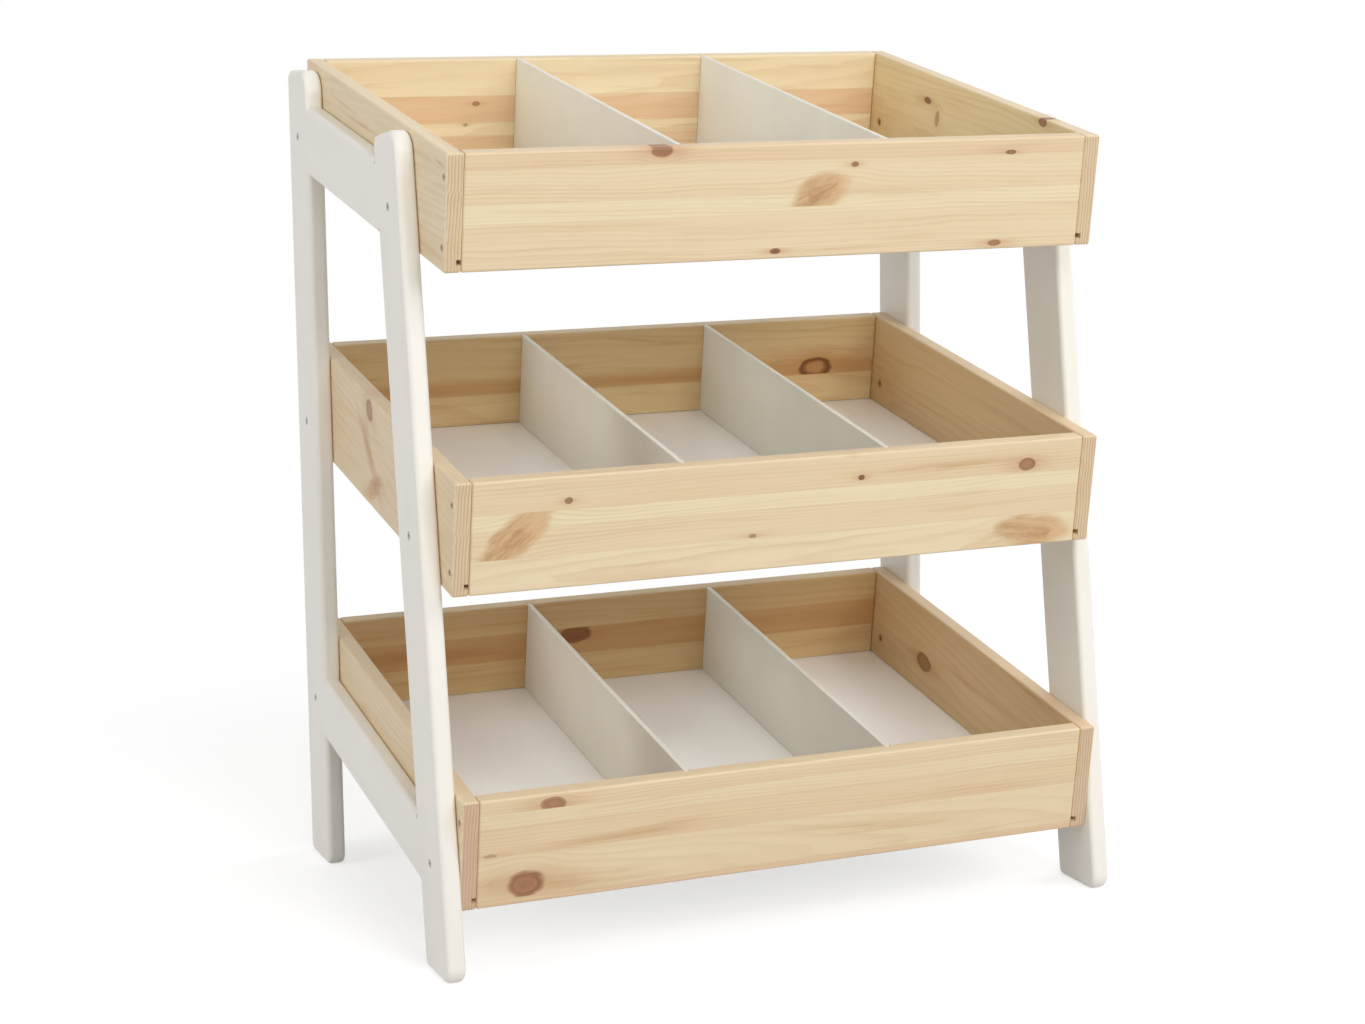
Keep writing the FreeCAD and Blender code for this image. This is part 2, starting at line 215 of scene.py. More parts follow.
pine = {
    "pale": screen(239, 223, 187),
    "pink": screen(227, 197, 161),
    "late": screen(198, 156, 108),
    "streak": screen(197, 153, 102),
    "streaky": 0.26,             # strength of the streaks that lie everywhere
    "glue": screen(196, 164, 124),
    "glueLine": (0.6, 0.1, 0.22),   # half width where it starts and where it is full, and strength
    "streakEdge": (0.54, 0.74),
    # scale along, across and from place to place, detail, contrast and what is taken off
    "brokenStreak": (1.5, 2.5, 0.1, 3.0, 2.4, 0.5),
    "cloudDepth": 0.5,
    # painted shade on the board faces that look into the tray
    "innerFacing": (0.5, 0.9),   # the inner tone starts and is full where it faces inward this far
    "fibreStart": 0.45,
    "fibreDepth": 0.30,
    "roughness": 0.46,
    "fibreRoughness": 0.14,
    "lateRoughness": -0.06,
    "sawnRoughness": 0.2,
    "relief": 0.04,
    "fibreRelief": 0.6,
    "lateRelief": 0.5,
    "gloss": 0.45,
    "wander": 14.0,              # how far the rings stray in slow bends
    "fineWander": 3.0,
    "seedStart": 1.7,            # each board's patterns start this far on from the board before
    "seedStep": 3.1,
    # scale along, up and into the board, detail and roughness
    "wanderNoise": (0.0035, 0.01, 0.01, 1.0, 0.5),
    "fineNoise": (0.012, 0.045, 0.045, 2.0, 0.5),
    "raggedNoise": (0.09, 0.16, 0.16, 3.0, 0.5),
    "wavyNoise": (0.03, 0.05, 0.05, 1.0, 0.5),
    "yearNoise": (0.008, 0.05, 0.05, 2.0, 0.5),
    "cloudNoise": (0.005, 0.07, 0.05, 3.0, 0.5),
    "streakNoise": (0.0045, 0.11, 0.10, 4.0, 0.62),
    "fibreNoise": (0.05, 1.7, 1.7, 3.0, 0.5),
}
rings = {
    "width": 3.6,                # of one year's growth
    "uneven": 1.5,               # years by which the spacing strays
    "depth": 0.26,               # how strongly the rings show
    "lateStart": 0.30,           # the dark part of a year starts here, is full, and ends
    "lateFull": 0.92,
    "lateEnd": 0.93,
    "vigour": (2.6, 0.75),       # contrast between strong and weak years, and what is taken off
    "vigourNoise": (0.37, 9.0, 0.003, 1.0, 0.5),
    "pithRise": 140.0,           # each strip's pith lies somewhere in this range below the board
    "pithDrop": 20.0,
    "pithRange": 50.0,           # and in this range behind it, at least the nearest away
    "pithNearest": 12.0,
    "pithLean": 0.08,
    "turns": ((12.9, 78.2), (39.4, 11.1), (7.3, 31.7)),   # scatter the piths from strip to strip
}
sawnEnd = {
    "tone": screen(221, 197, 163),
    "ring": screen(190, 158, 122),
    "flatten": 0.28,             # arcs are steep, since the pith lies far to the side
    "pithRange": 26.0,
    "pithNearest": 6.0,
    "width": 3.0,
    "ragged": 0.8,
    "lateStart": 0.35,
    "lateFull": 0.92,
    "ringDepth": 0.8,
    "cloudDepth": 0.6,
    "strength": 0.92,
    "facing": (0.75, 0.95),
}
knotLook = {
    "light": screen(168, 117, 84),
    "dark": screen(112, 73, 45),
    "halo": screen(204, 156, 112),
    "wavy": 1.3,                 # how much the outline strays, in slow waves and in ragged ones
    "ragged": 0.5,
    "cut": 0.5,                  # softness where a strip's edge cuts the knot, in millimetres
    "push": 0.35,                # how soon the bend that it gives the rings dies away
    "stainReach": (0.14, 0.70),  # how soon the stain fades along and across the grain
    "stainDepth": 0.70,
    "edge": (1.15, 0.82),        # shares of its size where the body starts and is full
    "ringNoise": (5.0, 1.5, 0.05, 3.0),   # scale outwards, over the fibres and up, and detail
    "ringDepth": 1.8,
    "rimStart": 0.40,
    "paleHeart": (0.70, 0.30),
}
# How dark the heart is; how strong, uneven and tilted the rim is; and how pale the heart is.
knotKinds = {
    "knot": {"heart": -0.72, "rim": 0.50, "rimGain": 2.6, "rimBase": -0.9, "rimTilt": 0.5, "pale": 0.0},
    "pin": {"heart": -0.27, "rim": 0.50, "rimGain": 2.6, "rimBase": -0.9, "rimTilt": 0.5, "pale": 0.0},
    "ring": {"heart": -0.72, "rim": 0.95, "rimGain": 3.0, "rimBase": 0.3, "rimTilt": 0.0, "pale": 0.5},
}
figureLook = {
    "light": screen(216, 177, 130),
    "dark": screen(172, 121, 76),
    "push": 0.5,                 # share of a knot's push on the rings
    "edge": (1.22, 0.70),
    "lineNoise": (1.3, 4.2, 1.8, 4.0, 0.62),
    "lines": (2.4, 0.95),        # contrast of the fine lines, and what is taken off
    "tilt": 0.22,
    "heartReach": 7.0,
    "heartDepth": 0.45,
    "strength": (0.45, 0.42),    # whatever its darkness, and by its darkness
}

# For each board: strips are the heights where its glued strips meet; tints are (height, pinkness);
# knots are (along, up, half length, half height, turn in degrees, darkness, kind, low cut, high cut),
# of a kind "knot", "pin" (small and dark), "ring" (a pale heart in a dark ring) or "figure" (a broad
# pale flame); streaks are (along, up, half length, half height, turn, strength); the inner colour is
# painted shade, multiplied into the side that faces into the tray and deeper in the lower trays.
# A board may have its own warm colour in the place of the pink one, its own strength of streaks,
# knot colours and colour of sawn ends.
boards = {
    "top_front_board": {
        "strips": (10, 42, 60, 92),
        "tints": ((0, 0.50), (9, 0.45), (11, 0.40), (34, 0.46), (41, 0.40), (43, 0.10), (59, 0.10),
                  (61, 0.55), (70, 0.42), (80, 0.32), (91, 0.45), (93, 0.78), (107, 0.62)),
        "knots": (
            (-125, 104, 10, 6.5, 0, 0.95, "knot", 92, 120),
            (36, 60, 31, 17, 24, 0.9, "figure", 48, 82),
            (67, 86, 4, 2.8, 0, 0.8, "pin", 60, 120),
            (-8, 7, 5.5, 2.8, 0, 1.0, "pin", -9, 10),
            (220, 6, 8, 3.4, 0, 0.9, "knot", -9, 10),
            (229, 93, 5.5, 2.2, 0, 0.85, "pin", 90, 120),
        ),
        "streaks": ((60, 7, 60, 1.2, 1, 0.5), (110, 58, 60, 5, -2, 0.30), (-112, 101, 16, 6, 0, 0.4),
                    (-190, 37, 90, 3, 0, 0.25), (222, 97, 34, 3, 6, 0.3)),
        "inner": (1.0, 0.98, 0.95),
    },
    "middle_front_board": {
        "strips": (32, 59, 75),
        "tints": ((0, 0.35), (10, 0.22), (31, 0.10), (33, 0.52), (46, 0.50), (58, 0.40), (60, 0.06),
                  (74, 0.02), (76, 0.62), (92, 0.55), (107, 0.50)),
        "knots": (
            (-266, 53, 38, 17, 38, 1.0, "figure", 32, 75),
            (-218, 83, 4, 3.2, 0, 0.75, "pin", 75, 120),
            (73, 83, 3.4, 2.8, 0, 1.0, "pin", 75, 120),
            (-35, 34, 4, 2.2, 0, 0.6, "pin", 32, 75),
            (249, 83, 8.5, 6, 0, 0.85, "knot", 75, 120),
            (263, 16, 38, 19, -6, 1.0, "figure", -9, 32),
        ),
        "streaks": ((170, 88, 75, 4.5, 1, 0.75), (250, 84, 17, 8, 0, 0.4), (-40, 36, 30, 2.5, 0, 0.2),
                    (62, 105, 6, 2.5, 0, 0.4), (225, 12, 22, 8, 10, 0.5)),
        "inner": (0.93, 0.84, 0.69),
    },
    "bottom_front_board": {
        "strips": (7, 50, 77, 92),
        "tints": ((0, 0.95), (6, 0.85), (8, 0.42), (20, 0.36), (49, 0.32), (51, 0.78), (62, 0.66),
                  (72, 0.58), (76, 0.70), (78, 0.34), (91, 0.28), (93, 0.62), (104, 0.40)),
        "knots": (
            (-239, 96, 12, 7, 0, 0.85, "knot", 92, 120),
            (-298, 51, 7, 2.5, 0, 0.4, "pin", 50, 92),
            (-262, 20, 17.5, 13, 0, 0.95, "knot", 7, 50),
        ),
        "streaks": ((-222, 16, 36, 7, -4, 0.6), (-300, 20, 16, 9, 30, 0.35), (-170, 55, 70, 4, 1, 0.7),
                    (-125, 61, 30, 3, 4, 0.35), (80, 34, 90, 4, -3, 0.55), (-180, 12, 60, 3, 0, 0.35),
                    (190, 58, 60, 4, 0, 0.25)),
        "inner": (0.93, 0.80, 0.64),
    },
    "top_rear_board": {
        "warm": screen(224, 187, 149),
        "streaky": 0.42,
        "strips": (26, 40, 68),
        "tints": ((0, 0.85), (25, 0.75), (27, 0.15), (39, 0.2), (41, 0.95), (67, 0.80), (69, 0.05),
                  (88, 0.2), (107, 0.1)),
        "knots": ((-149, 60, 4, 2.4, 0, 0.8, "knot", 40, 68), (-160, 38, 2.5, 1.8, 0, 0.5, "pin", 26, 40)),
        "streaks": ((-200, 22, 90, 5, 0, 0.4), (60, 92, 90, 2.5, 2, 0.2), (250, 18, 60, 6, 0, 0.4)),
        "inner": (1.0, 0.99, 0.95),
    },
    "middle_rear_board": {
        "warm": screen(214, 178, 134),
        "streaky": 0.45,
        "strips": (44,),
        "tints": ((0, 0.20), (43, 0.25), (45, 1.0), (56, 0.85), (64, 0.30), (84, 0.22), (107, 0.30)),
        "knotTones": (screen(178, 124, 76), screen(104, 64, 30)),
        "knots": ((238, 51, 20, 11, 0, 1.0, "ring", 44, 92),),
        "streaks": ((232, 58, 58, 14, 0, 0.95), (30, 94, 45, 2.2, -6, 0.6), (70, 88, 30, 2, 0, 0.5),
                    (-200, 52, 100, 5, 0, 0.6), (40, 50, 100, 4, 0, 0.6)),
        "inner": (0.94, 0.84, 0.67),
    },
    "bottom_rear_board": {
        "warm": screen(212, 174, 130),
        "streaky": 0.45,
        "strips": (45, 75),
        "tints": ((0, 0.3), (44, 0.4), (46, 1.0), (74, 0.85), (76, 0.4), (107, 0.45)),
        "knotTones": (screen(160, 106, 62), screen(104, 64, 30)),
        "knots": ((-50, 67, 17, 10, 0, 1.0, "knot", 45, 75),),
        "streaks": ((-215, 58, 90, 6, -2, 0.9), (20, 72, 50, 3, 3, 0.6), (120, 62, 90, 4, 0, 0.5)),
        "inner": (0.90, 0.78, 0.60),
    },
    "top_left_board": {
        "strips": (28, 72),
        "tints": ((0, 0.45), (27, 0.40), (29, 0.10), (71, 0.05), (73, 0.20)),
        "knots": (),
        "streaks": ((260, 79, 60, 2, -1, 0.8), (320, 86, 45, 1.6, 1, 0.6), (70, 90, 50, 3, 0, 0.3),
                    (60, 12, 50, 5, 0, 0.35), (20, 94, 12, 1.5, 5, 0.8)),
        "inner": (1.0, 0.99, 0.96),
    },
    "middle_left_board": {
        "strips": (58,),
        "tints": ((0, 0.5), (57, 0.55), (59, 0.4)),
        "knots": ((268, 93, 11, 10, 30, 0.75, "knot", 58, 120),
                  (248, 21, 26, 10, -30, 0.9, "figure", -9, 58)),
        "streaks": ((265, 50, 45, 7, 38, 1.0), (263, 48, 36, 5, 38, 1.0), (245, 20, 38, 7, -22, 1.0),
                    (275, 70, 20, 8, 60, 0.7)),
        "inner": (0.93, 0.84, 0.69),
    },
    "bottom_left_board": {
        "endTone": screen(212, 182, 155),
        "strips": (40, 80),
        "tints": ((0, 0.6), (39, 0.5), (41, 0.3), (107, 0.4)),
        "knots": ((205, 20, 9, 6, 0, 0.7, "knot", -9, 40),),
        "streaks": ((60, 60, 60, 4, 0, 0.3),),
        "inner": (0.93, 0.78, 0.61),
    },
    "top_right_board": {
        "strips": (45,),
        "tints": ((0, 0.5), (44, 0.45), (46, 0.2), (107, 0.25)),
        "knots": (
            (322, 79, 8, 3.6, 0, 0.9, "pin", 45, 120),
            (298, 64, 4, 9, 8, 0.5, "pin", 45, 120),
            (82, 103, 7, 4, 0, 0.9, "pin", 45, 120),
        ),
        "streaks": ((330, 76, 22, 5, 0, 0.4), (420, 40, 50, 30, 0, 0.35)),
        "inner": (0.93, 0.90, 0.76),
    },
    "middle_right_board": {
        "strips": (64,),
        "tints": ((0, 0.5), (63, 0.5), (65, 0.6)),
        "knots": (),
        "streaks": ((150, 80, 90, 4, 2, 0.3), (420, 30, 40, 30, 0, 0.5), (300, 50, 120, 3, -1, 0.2)),
        "inner": (0.93, 0.84, 0.69),
    },
    "bottom_right_board": {
        "endTone": screen(216, 190, 162),
        "strips": (57,),
        "tints": ((0, 0.35), (56, 0.35), (58, 0.65), (107, 0.7)),
        "knotTones": (screen(168, 124, 70), screen(116, 80, 40)),
        "knots": ((325, 47, 15, 9, 0, 0.95, "knot", -9, 57),),
        "streaks": ((80, 102, 50, 2.5, 0, 0.7), (380, 47, 30, 1.5, 0, 0.4), (180, 62, 110, 2, -1, 0.4),
                    (420, 30, 50, 25, 0, 0.3)),
        "inner": (0.91, 0.81, 0.66),
    },
}


# A point's place in an oval that is turned by an angle, as shares of its half length and half height.
def ovalPlace(g, w, along, up, halfLength, halfHeight, turn):
    cosine, sine = math.cos(math.radians(turn)), math.sin(math.radians(turn))
    a = ((g - along) * cosine + (w - up) * sine) / halfLength
    b = ((w - up) * cosine - (g - along) * sine) / halfHeight
    return a, b


# A broad pale flame: fine lines run along it, round a darker heart.
def addFigure(graph, colour, knot, seed):
    reach, inside, darkness, a, b = [knot[key] for key in ("reach", "inside", "darkness", "a", "b")]
    body = graph.ease(reach, *figureLook["edge"]) * inside
    lines = graph.mottle((a, b, reach), figureLook["lineNoise"], seed)
    heart = (reach * reach * -figureLook["heartReach"]).of("EXPONENT")
    gain, base = figureLook["lines"]
    shade = (lines * gain - base - a * figureLook["tilt"] + heart * figureLook["heartDepth"]).clamped()
    tone = graph.mix(shade, figureLook["light"], figureLook["dark"])
    always, byDarkness = figureLook["strength"]
    return graph.mix(body * (always + byDarkness * darkness), colour, tone)


# A knot: a warm stain runs out along the grain, and the heart is lighter than the uneven rim.
def addKnot(graph, colour, knot, seed, tones, fibre, w):
    reach, inside, darkness, a, b = [knot[key] for key in ("reach", "inside", "darkness", "a", "b")]
    kind = knotKinds[knot["kind"]]
    lighter, darker = tones
    alongFade, acrossFade = knotLook["stainReach"]
    stain = (((a * a) * alongFade + (b * b) * acrossFade) * -1.0).of("EXPONENT") * inside
    colour = graph.mix(stain * knotLook["stainDepth"] * darkness, colour, knotLook["halo"])
    body = graph.ease(reach, *knotLook["edge"]) * inside
    reachScale, fibreScale, upScale, detail = knotLook["ringNoise"]
    growth = graph.noise(reach * reachScale + seed, fibre * fibreScale, w * upScale, detail=detail)
    dark = (growth * knotLook["ringDepth"] + kind["heart"]).clamped()
    colour = graph.mix(body * darkness, colour, graph.mix(dark, lighter, darker))
    if kind["pale"]:
        pale = graph.ease(reach, *knotLook["paleHeart"]) * inside * kind["pale"]
        colour = graph.mix(pale, colour, figureLook["light"])
    uneven = (growth * kind["rimGain"] + kind["rimBase"] + a * kind["rimTilt"]).clamped()
    rim = graph.ease(reach, knotLook["rimStart"], 1.0) * body * uneven
    return graph.mix(rim * kind["rim"] * darkness, colour, darker)


# Pine seen through clear lacquer. A board's measures are g along it, w up it and t into it. Growth
# rings are level curves of the distance from a far pith, (w - a)^2 + (t - b + slope * g)^2, and
# each knot pushes them aside: w is read at wk + (w - wk) * (1 - exp(-distance^2)).
def pineMaterial(boardName, board, seed):
    trayName, side, _ = boardName.split("_")
    tray = trays[trayName]
    atEnd = side in ("front", "rear")
    graph = Graph(bpy.data.materials.new("pine " + boardName.replace("_", " ")))
    lengthways, through = (across, alongTray) if atEnd else (alongTray, across)
    inward = {"front": alongTray, "rear": -alongTray, "left": across, "right": -across}[side]
    g, w, t = graph.measures((lengthways, upTray, through), tray["corner"])

    # slow and fine wander of the fibres
    wander = graph.mottle((g, w, t), pine["wanderNoise"], seed) - 0.5
    fine = graph.mottle((g, w, t), pine["fineNoise"], seed) - 0.5
    ragged = graph.mottle((g, w, t), pine["raggedNoise"], seed) - 0.5
    wavy = graph.mottle((g, w, t), pine["wavyNoise"], seed) - 0.5
    flow = w + wander * pine["wander"] + fine * pine["fineWander"]

    knots = []
    for *oval, darkness, kind, lowCut, highCut in board["knots"]:
        a, b = ovalPlace(g, w, *oval)
        push = 1.0
        rough = wavy * knotLook["wavy"]
        if kind == "figure":
            push = figureLook["push"]
        else:
            rough = rough + ragged * knotLook["ragged"]
        reach = (a ** 2.0 + b ** 2.0 + rough).of("MAXIMUM", 0.0).of("SQRT")
        cut = knotLook["cut"]
        inside = graph.ease(w, lowCut - cut, lowCut + cut) * graph.ease(w, highCut + cut, highCut - cut)
        knots.append({"reach": reach, "inside": inside, "darkness": darkness, "kind": kind, "a": a, "b": b})
        bend = (reach * reach * -knotLook["push"]).of("EXPONENT") * inside
        flow = flow - (w - oval[1]) * bend * push

    # each glued strip was cut at its own place from the pith
    height = tray["height"]
    stripStops = []
    for index, low in enumerate((0,) + board["strips"]):
        piths = [math.sin(seed * rate + index * step) * 0.5 + 0.5 for rate, step in rings["turns"]]
        stripStops.append((low / height, piths))
    strip = graph.add("ShaderNodeValToRGB", {"stops": ("CONSTANT", stripStops)}, w / height)
    pithUp = graph.add("ShaderNodeSeparateColor", None, strip)
    pithDeep, lean = pithUp.beside("Green"), pithUp.beside("Blue")

    over = flow + pithUp * rings["pithRise"] - rings["pithDrop"]
    deep = t + pithDeep * rings["pithRange"] + rings["pithNearest"] + (lean - 0.5) * g * rings["pithLean"]
    radius = (over * over + deep * deep).of("SQRT")
    stray = graph.mottle((g, w, t), pine["yearNoise"], seed, seedAxis=2)
    years = radius / rings["width"] + stray * rings["uneven"]
    phase = years.of("FRACT")
    late = graph.ease(phase, rings["lateStart"], rings["lateFull"])
    late = late * graph.ease(phase, 1.0, rings["lateEnd"])
    vigour = graph.mottle((years.of("FLOOR"), pithUp, g), rings["vigourNoise"], seed)
    gain, base = rings["vigour"]
    late = late * (vigour * gain - base).clamped()

    tintStops = [(max(0.0, min(1.0, up / height)), (share,) * 3) for up, share in board["tints"]]
    tint = graph.add("ShaderNodeValToRGB", {"stops": ("LINEAR", tintStops)}, w / height)
    cloud = graph.mottle((g, w, t), pine["cloudNoise"], seed, seedAxis=2) - 0.5
    warmth = (tint + cloud * pine["cloudDepth"]).clamped()
    colour = graph.mix(warmth, pine["pale"], board.get("warm", pine["pink"]))
    colour = graph.mix(late * rings["depth"], colour, pine["late"])

    # warm streaks and fine fibres along the board
    streak = graph.ease(graph.mottle((g, flow, t), pine["streakNoise"], seed), *pine["streakEdge"])
    colour = graph.mix(streak * board.get("streaky", pine["streaky"]), colour, pine["streak"])
    fibre = graph.mottle((g, flow, t), pine["fibreNoise"], seed, seedAxis=2)
    colour = graph.mix((fibre - pine["fibreStart"]).clamped() * pine["fibreDepth"], colour, pine["late"])
    for *oval, strength in board["streaks"]:
        a, b = ovalPlace(g, w, *oval)
        soft = ((a * a + b * b) * -1.0).of("EXPONENT")
        aScale, bScale, placeScale, detail, gain, base = pine["brokenStreak"]
        broken = graph.noise(a * aScale + seed, b * bScale, oval[0] * placeScale, detail=detail)
        colour = graph.mix(soft * (broken * gain - base).clamped() * strength, colour, pine["streak"])

    knotTones = board.get("knotTones", (knotLook["light"], knotLook["dark"]))
    for knot in knots:
        if knot["kind"] == "figure":
            colour = addFigure(graph, colour, knot, seed)
        else:
            colour = addKnot(graph, colour, knot, seed, knotTones, fibre, w)

    # thin lines where the strips are glued
    outer, full, strength = pine["glueLine"]
    for low in board["strips"]:
        line = graph.ease((w - low).of("ABSOLUTE"), outer, full)
        colour = graph.mix(line * strength, colour, pine["glue"])

    # painted shade: the side that faces into the tray is darkened by the board's inner colour, most in the
    # lower trays
    paintedShade = graph.mix(1.0, colour, board["inner"], "MULTIPLY")
    colour = graph.mix(graph.ease(graph.facing(inward), *pine["innerFacing"]), colour, paintedShade)

    # sawn ends drink more finish, so they are darker; their rings are steep arcs round a pith behind
    sawn = graph.ease(graph.facing(lengthways).of("ABSOLUTE"), *sawnEnd["facing"])
    behind = (w if atEnd else t) + pithDeep * sawnEnd["pithRange"] + sawnEnd["pithNearest"]
    arcs = ((over * sawnEnd["flatten"]) ** 2.0 + behind ** 2.0).of("SQRT") / sawnEnd["width"]
    ringPhase = (arcs + fine * sawnEnd["ragged"]).of("FRACT")
    dark = graph.ease(ringPhase, sawnEnd["lateStart"], sawnEnd["lateFull"])
    shade = (dark * sawnEnd["ringDepth"] + cloud * sawnEnd["cloudDepth"]).clamped()
    sawnTone = graph.mix(shade, board.get("endTone", sawnEnd["tone"]), sawnEnd["ring"])
    colour = graph.mix(sawn * sawnEnd["strength"], colour, sawnTone)

    roughness = (pine["roughness"] + (fibre - 0.5) * pine["fibreRoughness"] + late * pine["lateRoughness"]
                 + sawn * pine["sawnRoughness"])
    relief = fibre * pine["fibreRelief"] + late * pine["lateRelief"]
    return graph.finish(colour, roughness, relief, pine["relief"], Specular_IOR_Level=pine["gloss"])


for index, (boardName, board) in enumerate(boards.items()):
    wear(boardName, pineMaterial(boardName, board, pine["seedStart"] + index * pine["seedStep"]))
print("pine boards:", len(boards))

paint = {
    "colour": screen(247, 243, 234),
    "worn": screen(242, 237, 227),
    "wornEdge": (0.4, 0.75),
    "wornDepth": 0.5,
    "roughness": 0.38,
    "peelRoughness": 0.10,
    "patchRoughness": 0.08,
    "relief": 0.04,
    "peelRelief": 0.5,
    "rippleRelief": 0.6,
    "gloss": 0.5,
    # scale along and across the piece, detail and roughness
    "patchNoise": (0.010, 0.02, 0.02, 2.0, 0.5),
    "peelNoise": (0.30, 0.45, 0.45, 2.0, 0.5),
    "rippleNoise": (0.02, 0.55, 0.55, 2.0, 0.5),
}


# Satin paint over smooth wood: a faint orange-peel and brush ripple, a touch warmer in patches.
def paintMaterial(name, lengthways):
    graph = Graph(bpy.data.materials.new("white paint " + name))
    places = graph.measures((lengthways, lengthways.cross(across), across))
    patch = graph.mottle(places, paint["patchNoise"])
    peel = graph.mottle(places, paint["peelNoise"])
    ripple = graph.mottle(places, paint["rippleNoise"])
    worn = graph.ease(patch, *paint["wornEdge"]) * paint["wornDepth"]
    colour = graph.mix(worn, paint["colour"], paint["worn"])
    roughness = (paint["roughness"] + (peel - 0.5) * paint["peelRoughness"]
                 + (patch - 0.5) * paint["patchRoughness"])
    relief = peel * paint["peelRelief"] + ripple * paint["rippleRelief"]
    return graph.finish(colour, roughness, relief, paint["relief"], Specular_IOR_Level=paint["gloss"])


upright = Vector((0.0, 0.0, 1.0))
footLow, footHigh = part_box("left_front_leg")
leaning = Vector((0.0, footHigh.y - footLow.y, footHigh.z - footLow.z)).normalized()
for side in sideNames:
    for piece, lengthways in (("rear_leg", upright), ("front_leg", leaning),
                              ("upper_rail", alongTray), ("lower_rail", alongTray)):
        wear(side + "_" + piece, paintMaterial(side + " " + piece.replace("_", " "), lengthways))
print("painted side frames done")

sheets = {
    "divider": {"light": screen(240, 237, 225), "shade": screen(232, 228, 215), "roughness": 0.50,
                "seed": 9.0},
    "baseSheet": {"light": screen(254, 252, 248), "shade": screen(250, 247, 242), "roughness": 0.27,
                  "seed": 4.0},
    "cloudEdge": (0.35, 0.70),
    "cloudDepth": 0.6,
    "fleckEdge": (0.62, 0.78),
    "fleckDepth": 0.10,
    "fleckRoughness": 0.03,
    "relief": 0.002,
    "gloss": 0.5,
    "cloudNoise": (0.012, 0.012, 0.012, 3.0, 0.5),
    "fleckNoise": (0.9, 0.9, 0.9, 3.0, 0.7),
}


# Thin lacquered fibreboard: almost plain, with a fine felt-like fleck and slow clouding.
def sheetMaterial(name, sheet, seed):
    graph = Graph(bpy.data.materials.new(name))
    places = graph.measures((alongTray, upTray, across))
    cloud = graph.ease(graph.mottle(places, sheets["cloudNoise"], seed), *sheets["cloudEdge"])
    fleck = graph.mottle(places, sheets["fleckNoise"], seed, seedAxis=2)
    colour = graph.mix(cloud * sheets["cloudDepth"], sheet["light"], sheet["shade"])
    flecks = graph.ease(fleck, *sheets["fleckEdge"]) * sheets["fleckDepth"]
    colour = graph.mix(flecks, colour, sheet["shade"])
    roughness = sheet["roughness"] + (fleck - 0.5) * sheets["fleckRoughness"]
    return graph.finish(colour, roughness, fleck, sheets["relief"], Specular_IOR_Level=sheets["gloss"])


for index, trayName in enumerate(trayNames):
    baseSheet, divider = sheets["baseSheet"], sheets["divider"]
    wear(trayName + "_base_sheet",
         sheetMaterial("base sheet " + trayName, baseSheet, baseSheet["seed"] + index))
    for side in sideNames:
        wear(trayName + "_" + side + "_divider",
             sheetMaterial("divider " + trayName + " " + side, divider, divider["seed"] + index))
print("base sheets and dividers done")

metal = {
    "bolt": {"tone": screen(176, 174, 170), "roughness": 0.38, "metallic": 0.8},
    "screw": {"tone": screen(184, 168, 144), "roughness": 0.60, "metallic": 0.35},
    "insert": {"tone": screen(186, 148, 96), "roughness": 0.60, "metallic": 0.35},
    "tarnish": screen(92, 82, 70),
    "tarnishEdge": (0.45, 0.75),
    "tarnishDepth": 0.6,
    "dullRoughness": 0.3,
    "relief": 0.02,
    "dullNoise": (0.5, 0.5, 0.5, 3.0, 0.5),
    "markNoise": (6.0, 0.8, 0.8, 1.0, 0.5),
}
dowelWood = {
    "tone": screen(206, 170, 124),
    "fleck": screen(92, 82, 70),
    "fleckEdge": (0.5, 0.75),
    "fleckDepth": 0.5,
    "roughness": 0.7,
    "fleckRoughness": 0.2,
    "relief": 0.05,
    "fleckNoise": (0.25, 1.6, 1.6, 2.0, 0.5),
}


# Zinc-plated steel with faint turning marks and dull patches.
def steelMaterial(name, steel):
    graph = Graph(bpy.data.materials.new(name))
    places = graph.measures((across, alongTray, upTray))
    dull = graph.mottle(places, metal["dullNoise"])
    marks = graph.mottle(places, metal["markNoise"])
    tarnished = graph.ease(dull, *metal["tarnishEdge"]) * metal["tarnishDepth"]
    tone = graph.mix(tarnished, steel["tone"], metal["tarnish"])
    roughness = steel["roughness"] + (dull - 0.5) * metal["dullRoughness"]
    return graph.finish(tone, roughness, marks, metal["relief"], Metallic=steel["metallic"])


# Bare beech of the dowels, hidden in the joints: short flecks along a plain light brown.
def beechMaterial():
    graph = Graph(bpy.data.materials.new("beech dowels"))
    fleck = graph.mottle(graph.measures((alongTray, upTray, across)), dowelWood["fleckNoise"])
    flecked = graph.ease(fleck, *dowelWood["fleckEdge"]) * dowelWood["fleckDepth"]
    tone = graph.mix(flecked, dowelWood["tone"], dowelWood["fleck"])
    roughness = dowelWood["roughness"] + (fleck - 0.5) * dowelWood["fleckRoughness"]
    return graph.finish(tone, roughness, fleck, dowelWood["relief"])


for kind, pieces in (("bolt", "_frame_bolts"), ("screw", "_corner_screws"),
                     ("insert", "_threaded_inserts")):
    steel = steelMaterial(kind + " steel", metal[kind])
    for trayName in trayNames:
        wear(trayName + pieces, steel)
beech = beechMaterial()
for side in sideNames:
    wear(side + "_frame_dowels", beech)
print("fasteners and dowels done")

studio = {
    "floorSize": 14.0,
    "floorColour": 0.65,         # share of light that the floor gives back
    "floorGlow": 0.57,           # only seen by the camera, so that the lit floor is white
    "whiteEdge": (0.65, 1.25),   # metres from the middle where it starts to be plain white, and is
    "skyLight": 0.38,            # what the surroundings give the object
    "lamps": {                   # place, size in metres, power in watts
        "front": ((0.40, -4.5, 2.1), 1.4, 48.0),
        "frontHigh": ((-0.3, -3.6, 2.7), 2.0, 38.0),
        "right": ((2.5, -2.7, 3.1), 1.6, 36.0),
        "left": ((-4.0, -0.3, 1.9), 2.0, 40.0),
        "side": ((3.2, 0.7, 2.8), 1.8, 34.0),
    },
}


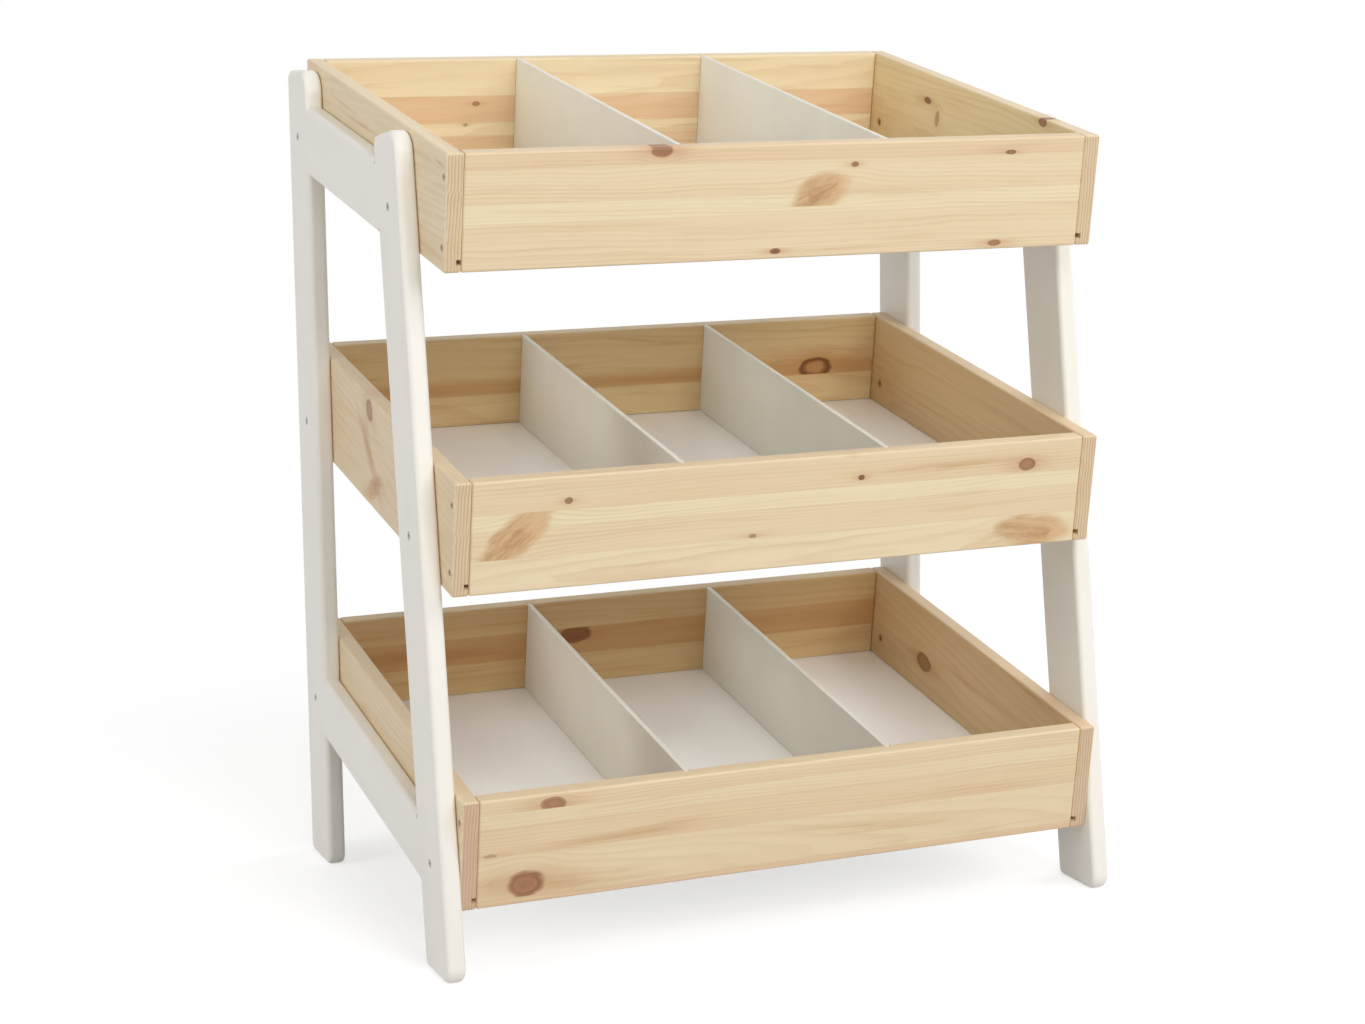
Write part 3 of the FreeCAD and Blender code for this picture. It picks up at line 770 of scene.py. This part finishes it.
# A flat square on the ground, wide enough that its edge is far outside the view.
def floorMesh(size):
    half = size / 2
    mesh = bpy.data.meshes.new("floor")
    mesh.from_pydata([(-half, -half, 0.0), (half, -half, 0.0), (half, half, 0.0), (-half, half, 0.0)], [],
                     [(0, 1, 2, 3)])
    return bpy.data.objects.new("floor", mesh)


# 1 where the camera looks straight at a thing or sees it mirrored, and 0 for all other light.
def lookedAt(graph):
    seen = graph.add("ShaderNodeLightPath", output="Is Camera Ray")
    return seen.beside("Is Glossy Ray").of("MAXIMUM", seen)


# White studio floor: it takes the object's soft shadow, and fades into the white behind it.
def floorMaterial():
    graph = Graph(bpy.data.materials.new("studio floor"))
    seen = lookedAt(graph)
    point = graph.add("ShaderNodeTexCoord", output="Object")
    away = graph.add("ShaderNodeVectorMath", {"operation": "LENGTH"}, point, output="Value")
    far = graph.ease(away, *studio["whiteEdge"])
    diffuse = graph.add("ShaderNodeBsdfDiffuse", None, (studio["floorColour"],) * 3 + (1.0,))
    glow = graph.add("ShaderNodeEmission", None, Strength=seen * studio["floorGlow"])
    lit = graph.add("ShaderNodeAddShader", None, diffuse, glow)
    white = graph.add("ShaderNodeEmission", None, Strength=1.0)
    surface = graph.add("ShaderNodeMixShader", None, seen * far, lit, white)
    return graph.end("ShaderNodeOutputMaterial", surface)


# A square lamp that faces the middle of the object.
def areaLight(name, place, size, power):
    data = bpy.data.lights.new(name, "AREA")
    data.shape = "SQUARE"
    data.size = size
    data.energy = power
    lamp = bpy.data.objects.new(name, data)
    target = (cadBox[0] + cadBox[1]) / 2
    lamp.location = place
    lamp.rotation_euler = (target - Vector(place)).to_track_quat("-Z", "Y").to_euler()
    lamp.visible_camera = False
    bpy.context.scene.collection.objects.link(lamp)


# Even white surroundings that light the object, and look pure white to the camera.
def surroundings():
    world = bpy.data.worlds.new("studio")
    bpy.context.scene.world = world
    graph = Graph(world)
    strength = graph.add("ShaderNodeMapRange", None, lookedAt(graph), To_Min=studio["skyLight"], To_Max=1.0)
    white = graph.add("ShaderNodeBackground", None, (1.0, 1.0, 1.0, 1.0), strength)
    graph.end("ShaderNodeOutputWorld", white)


floor = floorMesh(studio["floorSize"])
floor.data.materials.append(floorMaterial())
bpy.context.scene.collection.objects.link(floor)
for name, (place, size, power) in studio["lamps"].items():
    areaLight(name, place, size, power)
surroundings()
print("studio done")

view = {
    "place": (-1.04111, -2.49238, 0.83567),
    "yaw": 22.467,               # degrees, to the right of straight ahead
    "pitch": 8.072,              # degrees below level
    "roll": -0.711,
    "focalPixels": 2725.5,
    "imageWidth": 1365,
    "imageHeight": 1024,
    "axisRow": 430,              # pixel row that the lens points at
    "sensorWidth": 36.0,
}


# A camera whose axes are turned by yaw, pitch and roll, its lens slid down by a small shift.
def photoCamera():
    yaw, pitch, roll = [math.radians(view[key]) for key in ("yaw", "pitch", "roll")]
    level = Vector((math.cos(yaw), -math.sin(yaw), 0.0))
    ahead = Vector((math.sin(yaw) * math.cos(pitch), math.cos(yaw) * math.cos(pitch), -math.sin(pitch)))
    above = level.cross(ahead)
    right = level * math.cos(roll) + above * math.sin(roll)
    top = above * math.cos(roll) - level * math.sin(roll)
    data = bpy.data.cameras.new("camera")
    data.sensor_width = view["sensorWidth"]
    data.lens = view["focalPixels"] / view["imageWidth"] * view["sensorWidth"]
    data.shift_y = (view["axisRow"] - view["imageHeight"] / 2) / view["imageWidth"]
    camera = bpy.data.objects.new("camera", data)
    turned = Matrix((right, top, -ahead)).transposed().to_4x4()
    camera.matrix_world = Matrix.Translation(view["place"]) @ turned
    bpy.context.scene.collection.objects.link(camera)
    bpy.context.scene.camera = camera


photoCamera()
bpy.context.scene.view_settings.view_transform = "Standard"
print("camera done")
